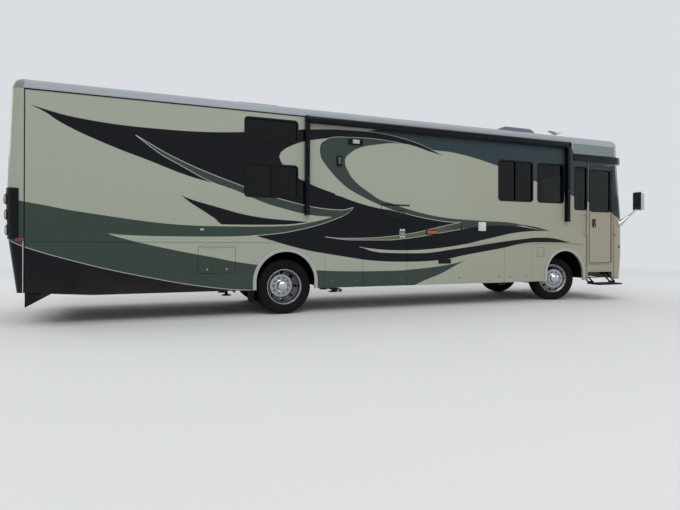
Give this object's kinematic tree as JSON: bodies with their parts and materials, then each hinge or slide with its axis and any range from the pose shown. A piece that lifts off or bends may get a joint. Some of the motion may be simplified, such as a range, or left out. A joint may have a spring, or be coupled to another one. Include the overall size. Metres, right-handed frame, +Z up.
{
  "type": "motorhome",
  "caption": "Large bus-style motorhome that rolls and steers, with opening entry door, hood and storage bays, folding entry step and twin rear wheels.",
  "frame": {"origin": "on the ground, halfway along and midway between the sides", "axes": "+X towards the front, +Y towards the driver's side (left), +Z up"},
  "size_m": [12.3735, 3.305, 3.91],
  "materials": {
    "body_paint": "gloss",
    "roof_skin": "satin",
    "roof_plastic": "satin",
    "chassis_steel": "satin",
    "spring_steel": "rough",
    "engine_iron": "rough",
    "tank_metal": "satin",
    "floor_board": "satin",
    "bay_metal": "satin",
    "glass": "gloss",
    "trim_black": "satin",
    "lamp_clear": "gloss",
    "lamp_housing": "gloss",
    "hinge_metal": "satin",
    "awning_metal": "satin",
    "bright_metal": "polished",
    "dash_plastic": "satin",
    "seat_fabric": "matte",
    "flap_rubber": "matte",
    "step_metal": "satin",
    "wheel_metal": "polished",
    "tyre": "matte"
  },
  "bodies": {
    "coach": {"side_walls": "body_paint", "lower_walls": "body_paint", "front_cap": "body_paint", "rear_cap": "body_paint", "brow": "body_paint", "mirrors": "body_paint", "roof": "roof_skin", "roof_units": "roof_plastic", "chassis_frame": "chassis_steel", "front_axle": "chassis_steel", "rear_axle": "chassis_steel", "leaf_springs": "spring_steel", "hitch": "chassis_steel", "engine": "engine_iron", "fuel_tank": "tank_metal", "floor": "floor_board", "storage_bays": "bay_metal", "wheel_housings": "bay_metal", "windshield": "glass", "window_glass": "glass", "window_frames": "trim_black", "headlamps": "lamp_clear", "tail_lamps": "lamp_housing", "grille": "trim_black", "hinge_rails": "hinge_metal", "awning": "awning_metal", "ladder_and_handle": "bright_metal", "dashboard": "dash_plastic", "seats": "seat_fabric", "rear_flap": "flap_rubber", "entry_step_frame": "step_metal"},
    "entry_door": {"entry_door": "body_paint", "entry_door_glass": "glass"},
    "hood": {"hood": "body_paint"},
    "access_door": {"access_door": "body_paint"},
    "fuel_door": {"fuel_door": "body_paint"},
    "knuckle_right": {"knuckle_right": "chassis_steel"},
    "knuckle_left": {"knuckle_left": "chassis_steel"},
    "tie_rod": {"tie_rod": "chassis_steel"},
    "front_wheel_right": {"front_rim_right": "wheel_metal", "front_tyre_right": "tyre"},
    "front_wheel_left": {"front_rim_left": "wheel_metal", "front_tyre_left": "tyre"},
    "rear_wheels_right": {"rear_rims_right": "wheel_metal", "rear_tyres_right": "tyre"},
    "rear_wheels_left": {"rear_rims_left": "wheel_metal", "rear_tyres_left": "tyre"},
    "step_front_links": {"entry_step_front_links": "step_metal"},
    "step_rear_links": {"entry_step_rear_links": "step_metal"},
    "step_tread": {"entry_step_tread": "step_metal"},
    "bay_door_right_1": {"bay_door_right_1": "body_paint"},
    "bay_door_right_2": {"bay_door_right_2": "body_paint"},
    "bay_door_right_3": {"bay_door_right_3": "body_paint"},
    "bay_door_right_4": {"bay_door_right_4": "body_paint"},
    "bay_door_right_5": {"bay_door_right_5": "body_paint"},
    "bay_door_left_1": {"bay_door_left_1": "body_paint"},
    "bay_door_left_2": {"bay_door_left_2": "body_paint"},
    "bay_door_left_3": {"bay_door_left_3": "body_paint"}
  },
  "joints": [
    {"name": "entry_door_swing", "type": "hinge", "parent": "coach", "child": "entry_door", "pos_m": [5.609, -1.2905, 1.9], "axis": [0, 0, 1], "range_deg": [0, 95]},
    {"name": "fuel_door_swing", "type": "hinge", "parent": "coach", "child": "fuel_door", "pos_m": [3.653, -1.2905, 1.055], "axis": [0, 0, 1], "range_deg": [0, 95]},
    {"name": "access_door_lift", "type": "hinge", "parent": "coach", "child": "access_door", "pos_m": [-3.122, -1.2905, 1.173], "axis": [-1, 0, 0], "range_deg": [0, 95]},
    {"name": "hood_lift", "type": "hinge", "parent": "coach", "child": "hood", "pos_m": [6.09529, 0, 1.723], "axis": [0, -1, 0], "range_deg": [0, 60]},
    {"name": "bay_door_right_1_lift", "type": "hinge", "parent": "coach", "child": "bay_door_right_1", "pos_m": [-0.899, -1.2905, 1.243], "axis": [-1, 0, 0], "range_deg": [0, 95]},
    {"name": "bay_door_right_2_lift", "type": "hinge", "parent": "coach", "child": "bay_door_right_2", "pos_m": [-0.084, -1.2905, 1.243], "axis": [-1, 0, 0], "range_deg": [0, 95]},
    {"name": "bay_door_right_3_lift", "type": "hinge", "parent": "coach", "child": "bay_door_right_3", "pos_m": [0.662, -1.2905, 1.243], "axis": [-1, 0, 0], "range_deg": [0, 95]},
    {"name": "bay_door_right_4_lift", "type": "hinge", "parent": "coach", "child": "bay_door_right_4", "pos_m": [2.005, -1.2905, 1.243], "axis": [-1, 0, 0], "range_deg": [0, 95]},
    {"name": "bay_door_right_5_lift", "type": "hinge", "parent": "coach", "child": "bay_door_right_5", "pos_m": [2.973, -1.2905, 1.243], "axis": [-1, 0, 0], "range_deg": [0, 95]},
    {"name": "bay_door_left_1_lift", "type": "hinge", "parent": "coach", "child": "bay_door_left_1", "pos_m": [-0.449, 1.2905, 1.243], "axis": [1, 0, 0], "range_deg": [0, 95]},
    {"name": "bay_door_left_2_lift", "type": "hinge", "parent": "coach", "child": "bay_door_left_2", "pos_m": [1.098, 1.2905, 1.243], "axis": [1, 0, 0], "range_deg": [0, 95]},
    {"name": "bay_door_left_3_lift", "type": "hinge", "parent": "coach", "child": "bay_door_left_3", "pos_m": [2.578, 1.2905, 1.243], "axis": [1, 0, 0], "range_deg": [0, 95]},
    {"name": "steer_right", "type": "hinge", "parent": "coach", "child": "knuckle_right", "pos_m": [4.2, -0.8, 0.4725], "axis": [0, 0, 1], "range_deg": [-22.5, 57.5]},
    {"name": "steer_left", "type": "hinge", "parent": "coach", "child": "knuckle_left", "pos_m": [4.2, 0.8, 0.4725], "axis": [0, 0, 1], "range_deg": [-22.5, 57.5]},
    {"name": "front_wheel_right_spin", "type": "hinge", "parent": "knuckle_right", "child": "front_wheel_right", "pos_m": [4.15489, -0.94306, 0.4725], "axis": [0.3007, 0.9537, 0], "continuous": true},
    {"name": "rear_wheels_right_spin", "type": "hinge", "parent": "coach", "child": "rear_wheels_right", "pos_m": [-1.97, -0.935, 0.4725], "axis": [0, 1, 0], "continuous": true},
    {"name": "front_wheel_left_spin", "type": "hinge", "parent": "knuckle_left", "child": "front_wheel_left", "pos_m": [4.24511, 0.94306, 0.4725], "axis": [0.3007, 0.9537, 0], "continuous": true},
    {"name": "rear_wheels_left_spin", "type": "hinge", "parent": "coach", "child": "rear_wheels_left", "pos_m": [-1.97, 0.935, 0.4725], "axis": [0, 1, 0], "continuous": true},
    {"name": "tie_rod_pivot", "type": "hinge", "parent": "knuckle_left", "child": "tie_rod", "pos_m": [4.02833, 0.85413, 0.35], "axis": [0, 0, 1], "range_deg": [-57.5, 22.5]},
    {"name": "step_swing", "type": "hinge", "parent": "coach", "child": "step_front_links", "pos_m": [5.251, -1.15, 0.59], "axis": [1, 0, 0], "range_deg": [0, 100]},
    {"name": "step_rear_swing", "type": "hinge", "parent": "coach", "child": "step_rear_links", "pos_m": [5.251, -1.02, 0.59], "axis": [1, 0, 0], "range_deg": [0, 100]},
    {"name": "step_tread_level", "type": "hinge", "parent": "step_front_links", "child": "step_tread", "pos_m": [5.251, -1.37981, 0.39716], "axis": [1, 0, 0], "range_deg": [-100, 0]}
  ],
  "couplings": [
    {"joint": "steer_left", "follows": "steer_right", "ratio": 1},
    {"joint": "tie_rod_pivot", "follows": "steer_right", "ratio": -1},
    {"joint": "step_rear_swing", "follows": "step_swing", "ratio": 1},
    {"joint": "step_tread_level", "follows": "step_swing", "ratio": -1}
  ]
}
